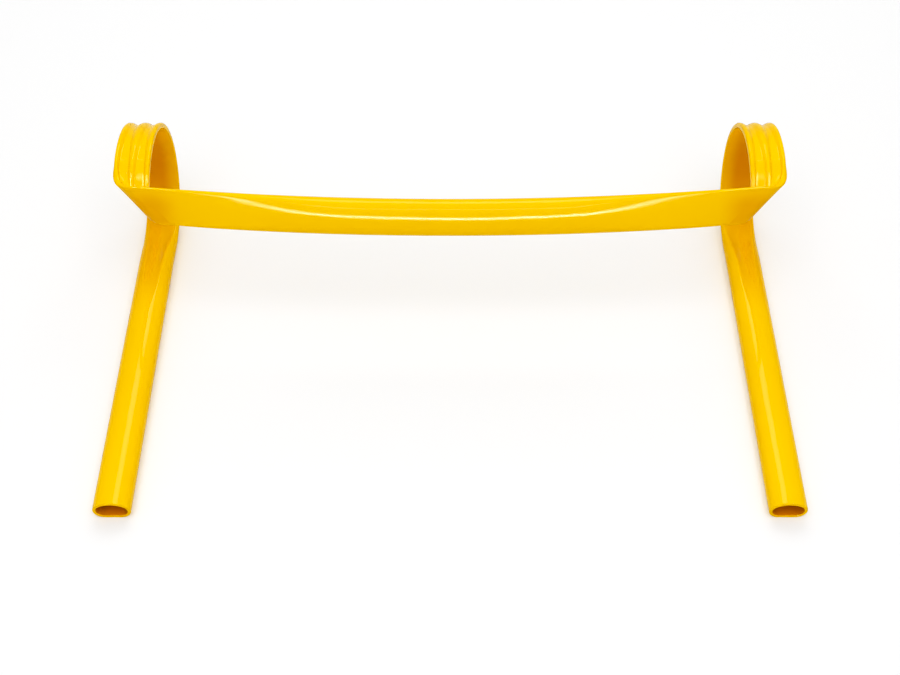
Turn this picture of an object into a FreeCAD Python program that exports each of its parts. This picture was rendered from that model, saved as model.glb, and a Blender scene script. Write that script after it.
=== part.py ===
"""Speed hurdle: one formed plastic tube, modelled section by section.

Millimetres. +X along the crossbar to the right, +Y to the back, +Z up.
The origin lies on the floor, in the middle of the footprint.
The legs point forwards (-Y), and a loop stands at the back end of each leg.
"""
import FreeCAD, Part
import Sketcher
import math
import os

SIZES = {
    # Plan of the hurdle
    "leg_spacing": 546.0,
    "leg_length": 290.0,
    # Heel: its straight stretch, and its climb into the loop in degrees
    "heel_length": 95.0,
    "heel_climb": 50.0,
    # Tube of the legs and the crossbar
    "tube_width": 31.2,
    "tube_height": 20.4,
    "tube_side_radius": 9.2,
    "tube_wall": 2.9,
    # Flattened spring band of the loops
    "loop_radius": 68.3,
    "band_thickness": 4.8,
    "bead_height": 2.0,
    "bead_crest_radius": 2.0,
    "bead_fall": 3.0,
    "middle_bead_width": 5.6,
    # Folded corners
    "fold_radius": 9.5,
    # Crossbar, its angle in degrees round the loop from the back
    "bar_angle": 138.4,
    "bar_bow": 8.0,
    "bar_flat_reach": 230.0,
    "bar_open_reach": 85.0,
    "bar_flat_thickness": 5.6,
    "bar_rim_radius": 2.4,
    "bar_side_radius": 9.0,
    # Where the bores run out
    "bore_slit": 0.8,
    "bore_slit_width": 20.0,
    "leg_bore_taper": 85.0,
    # Shared by all cuts
    "overrun": 6.0,
}

# The crown of the heel is pressed ahead of its edges, which leaves a dent
DENT_LEAD_SHARE = 0.15
EDGE_LAG_SHARE = 0.45
# The flat bottom of the tube, split where the beads of the band run out
BEAD_FOOT_SHARES = (0.8, 0.22)
# The bar's back, split where the beads run into the fold
BACK_SPLIT_SHARES = (0.0, 0.14, 0.4, 0.6, 0.86, 1.0)
# A bulge under this share of its chord counts as straight
STRAIGHT_SHARE = 1e-6
# Ends closer than this share of the wall are one point
TOUCHING_SHARE = 1e-4
# Each edge of the band, from its inner face on round, is pressed in so many flats
FLAT_COUNTS = (1, 2, 2, 1, 1, 3, 1, 1, 2, 2)
ROLL_FLAT_COUNTS = (4, 2, 2, 1, 2, 3, 2, 1, 2, 2)
BORE_FLAT_COUNTS = (3, 2, 3, 2)
# Steps between the sections of each formed stretch
HEEL_STEPS = 6
CLIMB_STEPS = 5
TAPER_STEPS = 4
BAR_OPEN_STEPS = 2
BAR_FLAT_STEPS = 5
ROLL_STEPS = 14
SIDES = {"left": -1, "right": 1}

Vector = FreeCAD.Vector
Rotation = FreeCAD.Rotation
Placement = FreeCAD.Placement

doc = FreeCAD.newDocument("speed_hurdle")
sheet = doc.addObject("Spreadsheet::Sheet", "Sizes")
for row, (alias, value) in enumerate(SIZES.items(), start=1):
    sheet.set(f"A{row}", alias)
    sheet.set(f"B{row}", str(value))
    sheet.setAlias(f"B{row}", alias)
doc.recompute()


def size(alias):
    """A driving dimension, read from the sheet."""
    return float(sheet.get(alias))


# Sizes that follow from the driving ones
half_width = size("tube_width") / 2
half_band = size("band_thickness") / 2
loop_radius = size("loop_radius")
fold_radius = size("fold_radius")
overrun = size("overrun")
bar_angle = math.radians(size("bar_angle"))
bar_radius = loop_radius + 2 * fold_radius
half_span = size("leg_spacing") / 2
depth = size("leg_length") + loop_radius + half_band
loop_y = depth / 2 - loop_radius - half_band
loop_z = loop_radius + half_band
front_y = loop_y - size("leg_length")
heel_climb = math.radians(size("heel_climb"))
heel_run = size("heel_length") + loop_radius * heel_climb

# The bar leaves the fold sloping by the end slope of its bow, so the fold line leans by half of that
slope = math.atan(2 * size("bar_bow") / size("bar_flat_reach"))
fold_line = math.pi / 4 + slope / 2
half_turn = math.pi * fold_radius
inset = half_span - size("bar_flat_reach")
bar_run = (inset + half_turn * math.sin(fold_line)) / math.cos(slope)
fold_start = -(bar_run * math.sin(slope) + half_turn * math.cos(fold_line))
fold_angle = bar_angle + fold_start / loop_radius
roll_end = half_turn * (math.cos(slope) / math.cos(fold_line) - math.sin(fold_line))


def mix(first, last, share):
    """The value a share of the way from first to last."""
    return first + (last - first) * share


def ease(share):
    """A share that starts and ends gently."""
    share = min(max(share, 0.0), 1.0)
    return share * share * (3 - 2 * share)


def uneased(share):
    """The share that ease turns into this one."""
    return 1 / 2 - math.sin(math.asin(1 - 2 * share) / 3)


def radial(angle):
    """Outward direction at an angle round the loop: 0 at the back, a quarter turn at the top."""
    return Vector(0, math.cos(angle), math.sin(angle))


def tangent(angle):
    """Direction of travel round the loop, over the top to the front."""
    return Vector(0, -math.sin(angle), math.cos(angle))


def straight(first, last):
    """A straight edge as its start, middle and end points."""
    middle = tuple(mix(i, j, 1 / 2) for i, j in zip(first, last))
    return first, middle, last


def mirrored(edge):
    """An edge reflected across the middle of the width, turned to run on round the outline."""
    return tuple((-x, y) for x, y in reversed(edge))


def curve_of(edge):
    """The line or arc through an edge's three points."""
    start, middle, end = (Vector(x, y, 0) for x, y in edge)
    bulge = (middle - (start + end) / 2).Length
    if bulge < (end - start).Length * STRAIGHT_SHARE:
        return Part.LineSegment(start, end)
    return Part.Arc(start, middle, end)


def stretch(edge, first, last):
    """The stretch of an edge between two shares of its length."""
    curve = curve_of(edge)
    ends = curve.FirstParameter, curve.LastParameter
    points = [curve.value(mix(*ends, share)) for share in (first, mix(first, last, 1 / 2), last)]
    return tuple((point.x, point.y) for point in points)


def in_stretches(outline, counts):
    """An outline with its edges divided into even stretches."""
    stretches = []
    for edge, count in zip(outline, counts):
        stretches += [stretch(edge, i / count, (i + 1) / count) for i in range(count)]
    return stretches


def in_flats(outline, counts):
    """An outline with its edges divided into even flats."""
    return [straight(edge[0], edge[-1]) for edge in in_stretches(outline, counts)]


def crown_of(width_half, height, side_radius):
    """Where a crown meets the two side arcs that it is tangent to.

    The height and the result are measured from the level of the side arcs' centres.
    """
    reach = width_half - side_radius
    crown = (reach**2 + height**2 - side_radius**2) / (2 * (height - side_radius))
    return crown * reach / (crown - side_radius), (crown - height) * side_radius / (crown - side_radius)


def band_outline(counts=FLAT_COUNTS):
    """The three-bead band, inner face first: across its width, and out from its middle thickness."""
    crest = size("bead_crest_radius")
    height = size("bead_height")
    fall = size("bead_fall")
    middle = size("middle_bead_width") / 2
    base = half_band - height
    top = half_width - crest
    foot = top - fall
    knuckle = crest * math.sqrt(1 / 2)
    fall_radius = (fall**2 + height**2) / (2 * height)
    turn = math.asin(fall / fall_radius) / 2
    shoulder = (top - fall_radius * math.sin(turn), half_band - fall_radius * (1 - math.cos(turn)))
    right = [
        straight((half_width, -half_band), (half_width, half_band - crest)),
        (
            (half_width, half_band - crest),
            (top + knuckle, half_band - crest + knuckle),
            (top, half_band),
        ),
        ((top, half_band), shoulder, (foot, base)),
        straight((foot, base), (middle, base)),
    ]
    inner = straight((-half_width, -half_band), (half_width, -half_band))
    bead = ((middle, base), (0, half_band), (-middle, base))
    outline = [inner] + right + [bead] + [mirrored(edge) for edge in reversed(right)]
    return in_flats(outline, counts)


def leg_outline(wall=0):
    """Flat-bottomed oval of the leg, inset by a wall: crown, right side, bottom, left side."""
    side_radius = size("tube_side_radius")
    x, y = crown_of(half_width, size("tube_height") - side_radius, side_radius)
    centre = half_width - side_radius
    kept = (side_radius - wall) / side_radius
    x_met = mix(centre, x, kept)
    y_met = side_radius + y * kept
    crown = ((-x_met, y_met), (0, size("tube_height") - wall), (x_met, y_met))
    side = ((x_met, y_met), (half_width - wall, side_radius), (centre, wall))
    bottom = straight((centre, wall), (-centre, wall))
    return [crown, side, bottom, mirrored(side)]


def heel_start_outline():
    """The leg's oval with as many edges as the band: each side in two, the bottom in five."""
    crown, side, bottom, _ = leg_outline()
    outer_foot, inner_foot = (share * bottom[0][0] for share in BEAD_FOOT_SHARES)
    right = [
        stretch(side, 0, 1 / 2),
        stretch(side, 1 / 2, 1),
        straight(bottom[0], (outer_foot, 0)),
        straight((outer_foot, 0), (inner_foot, 0)),
    ]
    middle = straight((inner_foot, 0), (-inner_foot, 0))
    outline = [crown] + right + [middle] + [mirrored(edge) for edge in reversed(right)]
    return in_stretches(outline, FLAT_COUNTS)


def heel_outline(share):
    """Section of the heel: the oval pressed down to the band, its crown ahead of its edges."""
    band = [[(x, half_band - out) for x, out in edge] for edge in band_outline()]
    pressed = ease((share - EDGE_LAG_SHARE) / (1 - EDGE_LAG_SHARE))
    dented = ease(share * (1 + DENT_LEAD_SHARE))
    outline = []
    for tube, flat in zip(heel_start_outline(), band):
        edge = [(mix(p[0], q[0], pressed), mix(p[1], q[1], pressed)) for p, q in zip(tube, flat)]
        outline.append(edge)
    crown_top = mix(size("tube_height"), size("band_thickness"), dented)
    outline[0][1] = (0, crown_top)
    return outline


def heel_place(run):
    """Where a section of the heel stands, a run from the heel's start: along the floor, then up the loop."""
    climbed = run - size("heel_length")
    if climbed <= 0:
        return Placement(Vector(0, 0, -size("leg_length") - climbed), Rotation())
    angle = climbed / loop_radius
    rise = loop_z * (1 - math.cos(angle))
    back = size("leg_length") + loop_z * math.sin(angle)
    return Placement(Vector(0, rise, -back), Rotation(Vector(1, 0, 0), math.degrees(angle)))


def taper_outline(share):
    """Section of the leg's bore where it runs out, from the open oval to a closing slit."""
    wall = size("tube_wall")
    half_slit = size("bore_slit_width") / 2
    top = wall + size("bore_slit")
    side = straight((half_slit, top), (half_slit, wall))
    slit = [
        straight((-half_slit, top), (half_slit, top)),
        side,
        straight((half_slit, wall), (-half_slit, wall)),
        mirrored(side),
    ]
    return [
        [tuple(mix(i, j, share) for i, j in zip(p, q)) for p, q in zip(tube, flat)]
        for tube, flat in zip(
            in_flats(leg_outline(wall), BORE_FLAT_COUNTS), in_flats(slit, BORE_FLAT_COUNTS)
        )
    ]


def bar_outline(opened, wall=0):
    """Section of the bar, 0 flattened to 1 fully open, inset by a wall.

    Four tangent arcs, front, lower side, back and upper side: down the width, and forwards.
    """
    height = mix(size("bar_flat_thickness"), size("tube_height"), opened) / 2 - wall
    side_radius = mix(size("bar_rim_radius"), size("bar_side_radius"), opened) - wall
    x, y = crown_of(half_width - wall, height, side_radius)
    front = ((-x, y), (0, height), (x, y))
    lower = ((x, y), (half_width - wall, 0), (x, -y))
    back = tuple((-i, -j) for i, j in front)
    upper = tuple((-i, -j) for i, j in lower)
    return [front, lower, back, upper]


def bar_opening(x):
    """How far the bar has opened at a distance from its middle."""
    flat = size("bar_flat_reach")
    return ease((flat - abs(x)) / (flat - size("bar_open_reach")))


def bar_sag(x):
    """How far the bar's middle line lies down its width from where its flat ends stand."""
    reach = size("bar_flat_reach")
    if abs(x) > reach:
        return -math.tan(slope) * (abs(x) - reach)
    return size("bar_bow") * (1 - (x / reach) ** 2)


def new_body(label, base, turn=Rotation()):
    """An empty body in its place."""
    body = doc.addObject("PartDesign::Body", label)
    body.Label = label
    body.Placement = Placement(base, turn)
    return body


def draw(body, name, plane, outline):
    """A closed sketch of an outline on one of the body's own planes."""
    sketch = body.newObject("Sketcher::SketchObject", name)
    planes = {feature.Role: feature for feature in body.Origin.OriginFeatures}
    sketch.AttachmentSupport = [(planes[plane], "")]
    sketch.MapMode = "FlatFace"
    sketch.addGeometry([curve_of(edge) for edge in outline], False)
    touching = size("tube_wall") * TOUCHING_SHARE
    for number in range(len(outline)):
        follower = (number + 1) % len(outline)
        for end in (1, 2):
            for start in (1, 2):
                gap = sketch.getPoint(number, end) - sketch.getPoint(follower, start)
                if gap.Length < touching:
                    sketch.addConstraint(Sketcher.Constraint("Coincident", number, end, follower, start))
    return sketch


def bind_radius(sketch, number, expression):
    """Tie the radius of one arc of a sketch to the sheet."""
    radius = sketch.Geometry[number].Radius
    index = sketch.addConstraint(Sketcher.Constraint("Radius", number, radius))
    sketch.setExpression(f"Constraints[{index}]", expression)


def feature(body, kind, name, **bound):
    """A feature of a body, with its lengths and angles tied to the sheet."""
    made = body.newObject(f"PartDesign::{kind}", name)
    for property_name, expression in bound.items():
        made.setExpression(property_name, expression)
    return made


def loft(body, kind, name, sections):
    """A body's loft through sketched sections, straight from each one to the next."""
    made = feature(body, kind, name)
    made.Profile = sections[0]
    made.Sections = sections[1:]
    made.Ruled = True


def fold_frame(point, down, outward, side):
    """Placement of a fold plane: its normal points on round the fold, its second axis outwards."""
    inward = Vector(-side, 0, 0)
    onward = down * math.cos(fold_line) - inward * math.sin(fold_line)
    return Placement(point, Rotation(outward.cross(onward), outward, onward, "ZYX"))


def cut_at_fold(body, name, frame, thickness):
    """Cut a body's flattened end off along the fold plane."""
    reach = half_width / math.cos(fold_line) + overrun
    rise = thickness / 2 + overrun
    corners = [(-reach, -rise), (reach, -rise), (reach, rise), (-reach, rise)]
    outline = [straight(corners[i], corners[(i + 1) % len(corners)]) for i in range(len(corners))]
    sketch = draw(body, f"{name}Line", "XY_Plane", outline)
    sketch.AttachmentOffset = frame
    cut = feature(body, "Pocket", name, Length="Sizes.tube_width + Sizes.overrun")
    cut.Profile = sketch
    cut.Reversed = True


def make_leg(label, side):
    """A leg: the open tube, the heel that is pressed down to the band, and the bore that runs out in it."""
    body = new_body(label, Vector(side * half_span, front_y, 0))
    body.setExpression("Placement.Base.x", f"{side} * Sizes.leg_spacing / 2")
    oval = draw(body, "Oval", "XZ_Plane", leg_outline())
    bind_radius(oval, 1, "Sizes.tube_side_radius")
    tube = feature(body, "Pad", "Tube", Length="Sizes.leg_length - Sizes.heel_length")
    tube.Profile = oval
    tube.Reversed = True

    runs = [size("heel_length") * step / HEEL_STEPS for step in range(HEEL_STEPS)]
    runs += [mix(size("heel_length"), heel_run, step / CLIMB_STEPS) for step in range(CLIMB_STEPS + 1)]
    sections = []
    for run in runs:
        section = draw(body, "HeelSection", "XZ_Plane", heel_outline(run / heel_run))
        section.AttachmentOffset = heel_place(run)
        sections.append(section)
    loft(body, "AdditiveLoft", "Heel", sections)

    bore_oval = draw(body, "BoreOval", "XZ_Plane", leg_outline(size("tube_wall")))
    bind_radius(bore_oval, 1, "Sizes.tube_side_radius - Sizes.tube_wall")
    bore = feature(body, "Pocket", "Bore", Length="Sizes.leg_length - Sizes.heel_length")
    bore.Profile = bore_oval

    sections = []
    for step in range(TAPER_STEPS + 1):
        section = draw(body, "TaperSection", "XZ_Plane", taper_outline(step / TAPER_STEPS))
        place = f"Sizes.heel_length - Sizes.leg_length - Sizes.leg_bore_taper * {step / TAPER_STEPS}"
        section.setExpression("AttachmentOffset.Base.z", place)
        sections.append(section)
    loft(body, "SubtractiveLoft", "BoreTaper", sections)
    return body


def make_loop(label, side):
    """A loop: the band turned round its axis from the heel over the top, cut off along the fold line."""
    body = new_body(label, Vector(side * half_span, loop_y, loop_z))
    body.setExpression("Placement.Base.x", f"{side} * Sizes.leg_spacing / 2")
    outline = [[(x, -loop_radius - out) for x, out in edge] for edge in band_outline()]
    profile = draw(body, "BandProfile", "XZ_Plane", outline)
    profile.AttachmentOffset = Placement(Vector(), Rotation(Vector(1, 0, 0), size("heel_climb")))
    band = feature(body, "Revolution", "Band")
    band.Profile = profile
    band.ReferenceAxis = (profile, ["H_Axis"])
    past_fold = (half_width * math.tan(fold_line) + overrun) / (loop_radius - half_band)
    band.Angle = math.degrees(math.pi / 2 - heel_climb + fold_angle + past_fold)
    frame = fold_frame(radial(fold_angle) * loop_radius, tangent(fold_angle), radial(fold_angle), side)
    cut_at_fold(body, "FoldCut", frame, size("band_thickness"))
    return body


def loop_end_point(across, out):
    """A point of the loop's cut end: across, along the fold from its line, out from mid thickness."""
    swing = math.asin(across * math.tan(fold_line) / (loop_radius + out))
    run = swing * loop_radius
    return across, run * math.cos(fold_line) - across * math.sin(fold_line), out


def bar_end_point(down, forward):
    """A point of the bar's cut end, in the same three measures as the loop's."""
    inward = roll_end + down / (math.tan(fold_line) - math.tan(slope))
    drop = math.tan(slope) * (inward - inset) + down
    swing = math.atan2(drop, bar_radius + forward)
    out = bar_radius - math.hypot(drop, bar_radius + forward)
    run_in = inward + half_turn * math.sin(fold_line)
    run_down = swing * bar_radius - fold_start - half_turn * math.cos(fold_line)
    across = run_down * math.cos(slope) - run_in * math.sin(slope)
    run = run_in * math.cos(slope) + run_down * math.sin(slope)
    return across, run * math.cos(fold_line) - across * math.sin(fold_line) - half_turn, out


def rolled_point(across, past, out, turn):
    """Where a point of the band comes to lie after a turn of the roll, on the left side."""
    rolled = fold_radius * turn + past
    run = (rolled + across * math.sin(fold_line)) / math.cos(fold_line)
    on_line = across * math.cos(fold_line) + run * math.sin(fold_line)
    off_line = fold_radius * math.sin(turn) + past * math.cos(turn)
    rise = fold_radius * (1 - math.cos(turn)) + past * math.sin(turn)
    inward = on_line * math.cos(fold_line) - off_line * math.sin(fold_line)
    swing = fold_start + on_line * math.sin(fold_line) + off_line * math.cos(fold_line)
    angle = bar_angle + swing / (loop_radius + rise)
    onward = tangent(angle) * math.cos(fold_line) - Vector(math.sin(fold_line), 0, 0)
    middle = Vector(inward - half_span, loop_y, loop_z) + radial(angle) * (loop_radius + rise)
    return middle + (radial(angle) * math.cos(turn) - onward * math.sin(turn)) * out


def make_corner(label):
    """The left corner: the band rolled half a turn about the fold line, its beads running out."""
    first = [loop_end_point(*edge[0]) for edge in band_outline(ROLL_FLAT_COUNTS)]
    front, lower, back, upper = bar_outline(0)
    halves = ((0, 1 / 2), (1 / 2, 1))
    outline = [front] + [stretch(lower, *half) for half in halves]
    outline += [stretch(back, *ends) for ends in zip(BACK_SPLIT_SHARES, BACK_SPLIT_SHARES[1:])]
    outline += [stretch(upper, *half) for half in halves]
    last = [bar_end_point(*edge[0]) for edge in in_flats(outline, ROLL_FLAT_COUNTS)]

    wires = []
    for step in range(ROLL_STEPS + 1):
        share = step / ROLL_STEPS
        points = []
        for p, q in zip(first, last):
            measures = [mix(i, j, ease(share)) for i, j in zip(p, q)]
            points.append(rolled_point(*measures, math.pi * share))
        wires.append(Part.makePolygon(points + points[:1]))
    corner = doc.addObject("Part::Feature", label)
    corner.Label = label
    corner.Shape = Part.makeLoft(wires, True, True)
    return corner


def make_right_corner(label, left):
    """The right corner, the left one's mirror image."""
    corner = doc.addObject("Part::Mirroring", label)
    corner.Label = label
    corner.Source = left
    corner.Normal = Vector(1, 0, 0)
    return corner


def bar_section(body, name, x, wall=0):
    """A sketch of the bar's section at a distance along it."""
    outline = bar_outline(bar_opening(x), wall)
    if wall:
        outline = in_flats(outline, BORE_FLAT_COUNTS)
    section = draw(body, name, "YZ_Plane", outline)
    section.AttachmentOffset = Placement(Vector(-bar_sag(x), 0, x), Rotation())
    return section


def make_crossbar(label):
    """The crossbar: open in the middle, flattened towards both folds, bowed down its width."""
    turn = Rotation(Vector(1, 0, 0), size("bar_angle") - 90)
    body = new_body(label, Vector(0, loop_y, loop_z) + radial(bar_angle) * bar_radius, turn)
    open_reach, flat_reach = size("bar_open_reach"), size("bar_flat_reach")
    reaches = [open_reach * i / BAR_OPEN_STEPS for i in range(1, BAR_OPEN_STEPS)]
    reaches += [mix(open_reach, flat_reach, i / BAR_FLAT_STEPS) for i in range(BAR_FLAT_STEPS + 1)]
    outer = reaches + [half_span]
    stations = [-x for x in reversed(outer)] + [0] + outer
    loft(body, "AdditiveLoft", "Shell", [bar_section(body, "BarSection", x) for x in stations])

    # The bore ends where its rim has closed to half the slit
    rims = size("bar_rim_radius"), size("bar_side_radius")
    closed = (size("tube_wall") + size("bore_slit") / 2 - rims[0]) / (rims[1] - rims[0])
    bore_end = mix(flat_reach, open_reach, uneased(closed))
    inner = [x for x in reaches if x < bore_end] + [bore_end]
    stations = [-x for x in reversed(inner)] + [0] + inner
    sections = [bar_section(body, "BoreSection", x, size("tube_wall")) for x in stations]
    loft(body, "SubtractiveLoft", "Bore", sections)

    for name, side in SIDES.items():
        x = side * (half_span - roll_end)
        frame = fold_frame(Vector(x, -bar_sag(x), 0), Vector(0, -1, 0), Vector(0, 0, 1), side)
        cut_at_fold(body, f"{name.title()}FoldCut", frame, size("bar_flat_thickness"))
    return body


left_corner = make_corner("left_corner")
pieces = [left_corner, make_right_corner("right_corner", left_corner), make_crossbar("crossbar")]
for side_name, side in SIDES.items():
    pieces.append(make_loop(f"{side_name}_loop", side))
    pieces.append(make_leg(f"{side_name}_leg", side))
doc.recompute()

for item in doc.Objects:
    if "Invalid" in item.State or "Error" in item.State:
        raise RuntimeError(f"{item.Label} failed: {item.State}")
for piece in pieces:
    if piece.Shape.isNull() or not piece.Shape.isValid():
        raise RuntimeError(f"{piece.Label} has no valid shape")
    if len(piece.Shape.Solids) != 1:
        raise RuntimeError(f"{piece.Label} is not one solid")

os.makedirs("parts", exist_ok=True)
for piece in pieces:
    piece.Shape.exportStep(f"parts/{piece.Label}.step")
    box = piece.Shape.BoundBox
    print(f"{piece.Label}: {piece.Shape.Volume:.0f} mm3, {box}")
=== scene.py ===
"""Speed hurdle: one glossy yellow plastic tube, pressed flat, curled and folded.

Metres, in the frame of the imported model: +X along the crossbar, +Y to the back, +Z up.
Each formed stretch of the tube is one piece. Its rings of points share one order round the
section, so neighbouring pieces meet ring on ring and their shading runs on across the seam.
"""

from __future__ import annotations

import logging
import math
from dataclasses import dataclass, field, replace
from enum import Enum

import bpy
import numpy as np
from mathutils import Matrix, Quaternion, Vector

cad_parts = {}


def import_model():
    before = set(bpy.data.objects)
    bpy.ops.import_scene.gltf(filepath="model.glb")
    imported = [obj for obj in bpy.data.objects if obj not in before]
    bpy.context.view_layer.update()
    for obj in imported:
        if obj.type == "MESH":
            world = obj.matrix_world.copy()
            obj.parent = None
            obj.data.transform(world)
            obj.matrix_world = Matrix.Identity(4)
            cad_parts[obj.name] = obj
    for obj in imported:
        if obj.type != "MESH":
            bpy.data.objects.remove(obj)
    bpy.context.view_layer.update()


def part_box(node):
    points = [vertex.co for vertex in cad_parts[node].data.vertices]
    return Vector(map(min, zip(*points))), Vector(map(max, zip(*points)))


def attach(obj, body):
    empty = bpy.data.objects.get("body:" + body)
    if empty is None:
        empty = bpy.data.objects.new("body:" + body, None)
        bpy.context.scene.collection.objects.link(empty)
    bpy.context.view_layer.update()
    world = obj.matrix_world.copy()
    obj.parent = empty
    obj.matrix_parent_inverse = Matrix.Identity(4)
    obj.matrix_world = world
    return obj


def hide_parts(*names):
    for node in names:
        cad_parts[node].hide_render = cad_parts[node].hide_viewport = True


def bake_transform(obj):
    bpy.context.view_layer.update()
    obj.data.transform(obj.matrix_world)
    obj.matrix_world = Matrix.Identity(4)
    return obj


LOG = logging.getLogger("hurdle")
SLOT = "yellow_plastic"
MM = 0.001
QUARTER = math.pi / 2
MIRROR = (-1.0, 1.0, 1.0)
WHITE = (1.0, 1.0, 1.0, 1.0)
RING_PLACE = "ring_place"
# Name of the point attribute that holds how deep the painted shade is there
PAINTED_SHADE = "painted_shade"
# Share of the full painted shade that is left at the lit edge of a ring's inner face
LIT_EDGE_SHADE_SHARE = 0.25
# Points that lie closer than this are one point
WELD_REACH = 0.001 * MM
# Faces of the tube's wall have four corners, and the end faces have more
WALL_CORNERS = 4
# A light's parametric place runs from 0 at its rim to this at its middle
RIM_TO_MIDDLE = 0.5
# Number of the view curve that bends all three colours alike
COMBINED_CURVE = 3

Values = np.ndarray | float
Point = tuple[float, float, float]
Colour = tuple[float, float, float, float]


class Side(Enum):
    """A side of the hurdle, with its name in piece and body names."""

    LEFT = "left"
    RIGHT = "right"


class LitEdge(Enum):
    """The edge of a ring's inner face where the painted shade is lighter, with its direction across
    the face.
    """

    FIRST = -1
    LAST = 1


@dataclass(frozen=True)
class RingCounts:
    """Points on each stretch of a ring, from the smooth inner face on round."""

    inner: int = 20
    corner: int = 5
    edge: int = 5
    crest: int = 6
    fall: int = 8
    channel: int = 6
    bead: int = 14

    @property
    def flank(self) -> tuple[int, ...]:
        """Stretches from the inner face round one edge."""
        return self.corner, self.edge, self.crest

    @property
    def outer(self) -> tuple[int, ...]:
        """Stretches across the beaded outer face."""
        return self.fall, self.channel, self.bead, self.channel, self.fall

    @property
    def ring(self) -> int:
        """Points in a whole ring."""
        return self.inner + sum(self.outer) + 2 * sum(self.flank)


COUNTS = RingCounts()


def eased(share: Values) -> Values:
    """A share from 0 to 1 that starts and ends gently."""
    share = np.clip(share, 0.0, 1.0)
    return share * share * (3.0 - 2.0 * share)


def mix(first: Values, last: Values, share: Values) -> Values:
    """The value a share of the way from first to last."""
    return first + (last - first) * share


def steps(count: int) -> np.ndarray:
    """Even shares along a stretch of a ring, without its end."""
    return np.arange(count) / count


def joined_steps(counts: tuple[int, ...], splits: tuple[float, ...]) -> np.ndarray:
    """Values along one edge that several stretches of a ring lie on.

    Args:
        counts: Points on each stretch, in order.
        splits: The value where each stretch starts, and where the last one ends.

    Returns:
        One value per point.
    """
    parts = [mix(low, high, steps(count)) for count, low, high in zip(counts, splits, splits[1:])]
    return np.concatenate(parts)


def line_points(start: tuple[float, float], end: tuple[float, float],
                shares: np.ndarray) -> np.ndarray:
    """Points at shares of a straight edge."""
    return np.outer(1.0 - shares, start) + np.outer(shares, end)


def arc_points(centre: tuple[float, float], radius: float, first: float, last: float,
               shares: np.ndarray) -> np.ndarray:
    """Points at shares of an arc, its angles in radians."""
    angles = mix(first, last, shares)
    return np.stack([np.cos(angles), np.sin(angles)], axis=1) * radius + centre


def crown_arc(half_width: float, height: float, side_radius: float) -> tuple[float, float]:
    """The crown that is tangent to two side arcs.

    Args:
        half_width: Half the width over the side arcs.
        height: Height of the crown over the side arcs' centres.
        side_radius: Radius of the side arcs.

    Returns:
        The crown's radius and the half angle that it spans.
    """
    reach = half_width - side_radius
    radius = (reach**2 + height**2 - side_radius**2) / (2 * (height - side_radius))
    return radius, math.asin(reach / (radius - side_radius))


def radial(angle: Values) -> np.ndarray:
    """Outward direction at an angle round the loop: 0 at the back, a quarter turn at the top."""
    angle = np.asarray(angle, float)
    return np.stack([np.zeros_like(angle), np.cos(angle), np.sin(angle)], axis=-1)


def tangent(angle: Values) -> np.ndarray:
    """Direction of travel round the loop, over the top to the front."""
    angle = np.asarray(angle, float)
    return np.stack([np.zeros_like(angle), -np.sin(angle), np.cos(angle)], axis=-1)


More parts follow.
